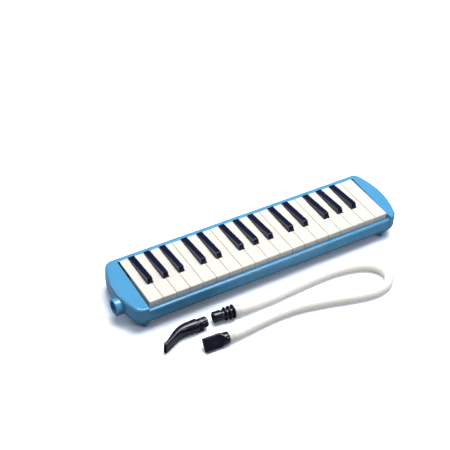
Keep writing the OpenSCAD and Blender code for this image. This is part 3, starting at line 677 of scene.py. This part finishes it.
rows = upper_shell_rows()
upper = add_piece("casing_cover", "casing", casing_blue, rows * MM,
                  grid_faces(len(rows), STATIONS, close_rows=True), sharp=32)
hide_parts("upper_casing")
rows = lower_shell_rows()
last = (len(rows) - 1) * STATIONS
lower = add_piece(
    "casing_dish", "casing", casing_blue, rows * MM,
    grid_faces(len(rows), STATIONS), sharp=32,
    caps=(range(STATIONS), range(last, last + STATIONS)),
)
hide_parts("lower_casing")
FEET = ((-198, -44, 13), (190, -44, 13), (-190, 44, 10), (190, 44, 10))
CHEEK_SCREWS = ((-204, -38), (-201, 43.6), (200, -38), (200, 38))
CHEST_SCREWS_X = (-150, -75, 0, 75, 150)
SOCKET_Y, SOCKET_Z = -15.0, 24.5
feet = [plug_solid(x, y, 0.02, "z", [(0, 1.6), (0.3, 2.2), (0.9, 2.6), (height, 2.6 + 0.27 * height)])
        for x, y, height in FEET]
carve(lower, feet, "UNION")
holes = [plug_solid(x, y, -1, "z", [(0, 3.1), (12, 3.1)]) for x, y in CHEEK_SCREWS]
holes += [plug_solid(x, 8, -1, "z", [(0, 3.1), (12, 3.1)]) for x in CHEST_SCREWS_X]
holes += [plug_solid(184, 30, -1, "z", [(0, 5.8), (12, 5.8)])]
socket_hole = plug_solid(-240, SOCKET_Y, SOCKET_Z, "x", [(0, 11.1), (29, 11.1)], 64)
carve(lower, holes + [socket_hole], "DIFFERENCE")
carve(upper, [socket_hole], "DIFFERENCE")
evened(lower)
evened(upper)


# ---- Blow socket ----
# A blue ABS tube that stands out of the bass end, bored for the plugs and flared at its mouth. A
# wide web is moulded under it, and its flange sits behind the casing's wall.
SOCKET_X = -230.84
socket_outline = eased(
    [(0, 9.5), (0, 11.2), (8, 11.18), (14.4, 11.18), (14.5, 12.8), (16.1, 12.8), (16.1, 8.6),
     (23.4, 8.6), (23.4, 6.8), (17, 6.8), (16.6, 7.6), (8, 7.6), (5, 9.3)],
    0.5,
)
points, faces = turned(socket_outline, (SOCKET_X, SOCKET_Y, SOCKET_Z), 0, 96)
tube = add_piece(
    "blow_socket_tube", "casing", casing_blue, points, faces, sharp=40
)
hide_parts("blow_socket")
WEB_HALF, WEB_LOW, WEB_HIGH, WEB_END = 6.5, -12.2, -8.4, 13.1
web_section = eased(
    [(-WEB_HALF, WEB_LOW), (WEB_HALF, WEB_LOW), (WEB_HALF, WEB_HIGH), (-WEB_HALF, WEB_HIGH)], 0.9
)
web_middle = np.array((0, (WEB_LOW + WEB_HIGH) / 2))
web_rings = []
for x, size in ((0.9, 0.84), (1.05, 0.94), (1.6, 1.0), (WEB_END, 1.0)):
    ring = web_middle + (web_section - web_middle) * size
    web_rings.append(np.insert(ring, 0, x, axis=1) + (SOCKET_X, SOCKET_Y, SOCKET_Z))
count = len(web_section)
add_piece(
    "blow_socket_web", "casing", casing_blue, np.stack(web_rings) * MM,
    grid_faces(len(web_rings), count), sharp=50,
    caps=(range(count), range(3 * count, 4 * count)),
)


# ---- Keys ----
# 19 white and 13 black hollow ABS mouldings. Each hangs on the steel rod by a boss, with a tail
# behind it that carries a felt pad. White tops are polished to a satin, black ones to a gloss.
key_ivory = moulded_plastic(
    "key_ivory_abs", (0.70, 0.68, 0.635), (0.705, 0.686, 0.642), 0.24, 0.36, 500, 0.000006, 55
)
key_black = moulded_plastic(
    "key_black_abs", (0.003, 0.006, 0.028), (0.005, 0.008, 0.033), 0.10, 0.20, 420, 0.000006, 55
)


key_black.node_tree.nodes["Principled BSDF"].inputs["IOR"].default_value = 1.42


def felt(name, low, high):
    """Pressed wool: a fibrous colour, a fuzzy height, and sheen."""
    material, tree, shader, place = new_material(name)
    fibres = ramp(tree, 0.3, 0.7, (*low, 1), (*high, 1))
    link(tree, noise(tree, place, 1400, 4, 0.7), "Fac", fibres, "Fac")
    link(tree, fibres, "Color", shader, "Base Color")
    fuzz = tree.nodes.new("ShaderNodeBump")
    fuzz.inputs["Distance"].default_value = 0.0002
    link(tree, noise(tree, place, 2600, 4, 0.8), "Fac", fuzz, "Height")
    link(tree, fuzz, "Normal", shader, "Normal")
    shader.inputs["Roughness"].default_value = 0.95
    shader.inputs["Sheen Weight"].default_value = 0.4
    return material


pad_felt = felt("pad_felt", (0.62, 0.60, 0.55), (0.80, 0.78, 0.72))
PAD_TOP_Z = 33.0 * MM
PAD_FRONT_Y = 37.3 * MM


def moulded_copy(node, body, material, edge, pad=None):
    """A copy of a CAD node, merged, with its flat faces made whole and its edges rounded by edge
    metres. Where pad is given, the faces of the tail's pad take that material."""
    shape = bmesh.new()
    shape.from_mesh(cad[node].data)
    bmesh.ops.remove_doubles(shape, verts=shape.verts, dist=1e-6)
    bmesh.ops.dissolve_limit(
        shape, angle_limit=math.radians(0.5), verts=shape.verts, edges=shape.edges
    )
    mesh = bpy.data.meshes.new(node + "_moulding")
    shape.to_mesh(mesh)
    shape.free()
    mesh.polygons.foreach_set("use_smooth", np.ones(len(mesh.polygons), bool))
    mesh.set_sharp_from_angle(angle=math.radians(30))
    mesh.materials.append(material)
    if pad:
        mesh.materials.append(pad)
        middles = np.zeros(len(mesh.polygons) * 3)
        mesh.polygons.foreach_get("center", middles)
        middles = middles.reshape(-1, 3)
        on_pad = (middles[:, 2] < PAD_TOP_Z - 0.01 * MM) & (middles[:, 1] > PAD_FRONT_Y)
        mesh.polygons.foreach_set("material_index", on_pad.astype(np.int32))
    piece = bpy.data.objects.new(node + "_moulding", mesh)
    bpy.context.collection.objects.link(piece)
    soften = piece.modifiers.new("rounded_edges", "BEVEL")
    soften.width = edge
    soften.segments = 3
    soften.limit_method = "ANGLE"
    soften.angle_limit = math.radians(30)
    soften.use_clamp_overlap = True
    soften.harden_normals = True
    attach(piece, body)
    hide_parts(node)
    return piece


for number in range(1, 20):
    name = f"white_key_{number:02d}"
    moulded_copy(name, name, key_ivory, 0.35 * MM, pad_felt)
for number in range(1, 14):
    name = f"black_key_{number:02d}"
    moulded_copy(name, name, key_black, 0.45 * MM, pad_felt)


# ---- Short mouthpiece ----
# A glossy black beak, moulded in one piece, that plugs straight into the blow socket. The plug has
# a ring groove and a small locating lug under it. The beak lies on its side on the table.
BEAK_MID_Z = 9.5
# Stations along the beak: x, y, half thickness, half height, squareness, turn in degrees
BEAK = np.array([
    (-141.0, -81.0, 7.4, 8.9, 2.2, 0), (-141.4, -81.0, 7.9, 9.3, 2.3, 0),
    (-148.0, -81.0, 7.8, 9.4, 2.4, 1), (-156.0, -81.1, 7.4, 9.45, 2.5, 4),
    (-163.0, -81.7, 6.7, 9.45, 2.7, 12), (-169.5, -83.4, 5.9, 9.45, 2.9, 22),
    (-176.0, -86.4, 5.0, 9.45, 3.2, 29), (-184.0, -91.0, 4.0, 9.45, 3.8, 31),
    (-190.0, -94.4, 3.1, 9.45, 4.5, 28), (-194.6, -96.6, 2.5, 9.45, 6, 24),
    (-195.2, -96.9, 2.9, 9.6, 6, 24), (-196.6, -97.5, 2.9, 9.6, 6, 24),
    (-197.0, -97.7, 2.6, 9.3, 6, 24), (-197.0, -97.7, 1.4, 7.6, 6, 24),
    (-196.0, -97.3, 1.2, 7.4, 6, 24), (-186.0, -92.2, 1.4, 7.0, 5, 30),
    (-174.0, -85.4, 2.4, 5.5, 3, 27), (-163.0, -81.8, 3.9, 3.9, 2, 12), (-150.0, -81.0, 3.9, 3.9, 2, 0),
    (-141.0, -81.0, 3.9, 3.9, 2, 0),
])


def beak_rings(stations, around, fill):
    """Closed sections stood across a curved way: height above the middle is the half height times
    the sine, sideways reach the half thickness times the cosine, each raised to 2 over the
    squareness. A smooth curve through the stations fills in `fill` steps between each two."""
    body = smooth_route(stations, fill)
    a = np.linspace(0, 2 * math.pi, around, endpoint=False)
    power = 2 / body[:, 4, None]
    out = body[:, 2, None] * np.sign(np.cos(a)) * np.abs(np.cos(a)) ** power
    up = body[:, 3, None] * np.sign(np.sin(a)) * np.abs(np.sin(a)) ** power
    turn = np.radians(body[:, 5, None])
    points = [body[:, 0, None] - out * np.sin(turn), body[:, 1, None] + out * np.cos(turn),
              BEAK_MID_Z + up]
    return np.stack(points, -1) * MM


points = beak_rings(BEAK, 72, 4)
beak = add_piece(
    "short_mouthpiece_beak", "mouthpiece", fitting_black, points,
    grid_faces(len(points), 72, close_rows=True), sharp=40,
)
PLUG_OUTLINE = eased(
    [(0, 3.6), (0, 6.5), (4.4, 6.5), (4.5, 7.5), (10.5, 7.5), (10.6, 6.7), (11.6, 6.7), (11.7, 7.5),
     (15.2, 7.35), (16.0, 6.6), (16.0, 3.6)],
    0.25,
)
points, faces = turned(PLUG_OUTLINE, (-142, -81, BEAK_MID_Z), 0)
lug = plug_solid(-142, -86.5, 3.0, "x", [(0, 2.0), (8.2, 2.0), (8.8, 1.6), (9.0, 1.0)], 24)
carve(beak, [(points.reshape(-1, 3), faces.tolist()), lug], "UNION")
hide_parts("mouthpiece")


# ---- Wind way and reeds ----
# A grey ABS chest with its cover and gasket hangs under the keys' tails. It holds two aluminium
# plates with riveted brass reeds, and a duct in the bass cheek leads the breath to it.
def dress(material, *nodes):
    """Gives the frame's own nodes a material."""
    for node in nodes:
        for entry in cad[node].material_slots:
            entry.material = material


def bare_metal(name, colour, tarnish, gloss, haze, grain):
    """Metal with faint tarnish: the moulding skin again, over a metallic shader."""
    material = moulded_plastic(name, colour, tarnish, gloss, haze, grain, 0.000004, 120)
    material.node_tree.nodes["Principled BSDF"].inputs["Metallic"].default_value = 1.0
    return material


inner_grey = moulded_plastic(
    "inner_grey_abs", (0.35, 0.37, 0.39), (0.39, 0.41, 0.43), 0.42, 0.6, 300, 0.00001, 60
)
dress(inner_grey, "air_duct", "wind_chest", "chest_cover", "key_guides")
aluminium = bare_metal("reed_plate_aluminium", (0.62, 0.63, 0.65), (0.55, 0.56, 0.58), 0.28, 0.45, 900)
dress(aluminium, "reed_plate_bass", "reed_plate_treble")
brass = bare_metal("reed_brass", (0.62, 0.44, 0.16), (0.54, 0.36, 0.12), 0.22, 0.4, 1100)
dress(brass, "reeds", "reed_rivets")
rubber = moulded_plastic(
    "seal_rubber", (0.035, 0.035, 0.037), (0.05, 0.05, 0.05), 0.6, 0.8, 800, 0.00002, 90
)
dress(rubber, "chest_gasket", "drain_seal")


# ---- Rod, springs and screws ----
# The keys' pivot rod and their return springs are drawn steel wire. The screws are zinc-plated.
wire_steel = bare_metal("wire_steel", (0.52, 0.53, 0.55), (0.45, 0.45, 0.46), 0.2, 0.38, 1200)
dress(wire_steel, "pivot_rod", "key_springs")
zinc = bare_metal("zinc_plated_screw", (0.60, 0.61, 0.62), (0.50, 0.51, 0.50), 0.26, 0.42, 1500)
dress(zinc, "chest_screws", "casing_screws", "reed_plate_screws")


# ---- Front felt and drain valve ----
# A red felt strip is glued on the bench that the keys' fronts land on. Under the treble end, a
# sprung black button opens the chest to let moisture out.
bench_felt = felt("bench_felt", (0.26, 0.015, 0.02), (0.42, 0.04, 0.05))
dress(bench_felt, "front_felt")
button_black = moulded_plastic(
    "button_black_abs", (0.010, 0.010, 0.012), (0.014, 0.014, 0.016), 0.2, 0.35, 500, 0.000008, 80
)
dress(button_black, "drain_button")
DRAIN_X, DRAIN_Y, COIL_LOW, COIL_HIGH, PRESS = 184.0, 30.0, 10.35, 13.85, 2.0


def coil_rings(coil_r, wire_r, turns, steps, around):
    """A wire's rings along a helix: a ring's point is the helix's point, moved outwards by the
    wire's radius times the cosine of its angle and upwards by the radius times the sine."""
    t = np.linspace(0, 2 * math.pi * turns, steps)[:, None]
    a = np.linspace(0, 2 * math.pi, around, endpoint=False)[None, :]
    out = coil_r + wire_r * np.cos(a)
    climb = COIL_LOW + wire_r + (COIL_HIGH - COIL_LOW - 2 * wire_r) * t / t[-1]
    return np.stack([DRAIN_X + out * np.cos(t), DRAIN_Y + out * np.sin(t),
                     climb + wire_r * np.sin(a)], -1) * MM


COIL_STEPS, WIRE_AROUND = 145, 12
points = coil_rings(3.6, 0.3, 3, COIL_STEPS, WIRE_AROUND)
last = (COIL_STEPS - 1) * WIRE_AROUND
coil = add_piece(
    "drain_spring_coil", "casing", wire_steel, points, grid_faces(COIL_STEPS, WIRE_AROUND),
    sharp=50, caps=(range(WIRE_AROUND), range(last, last + WIRE_AROUND)),
)
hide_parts("drain_spring")
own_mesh(coil)
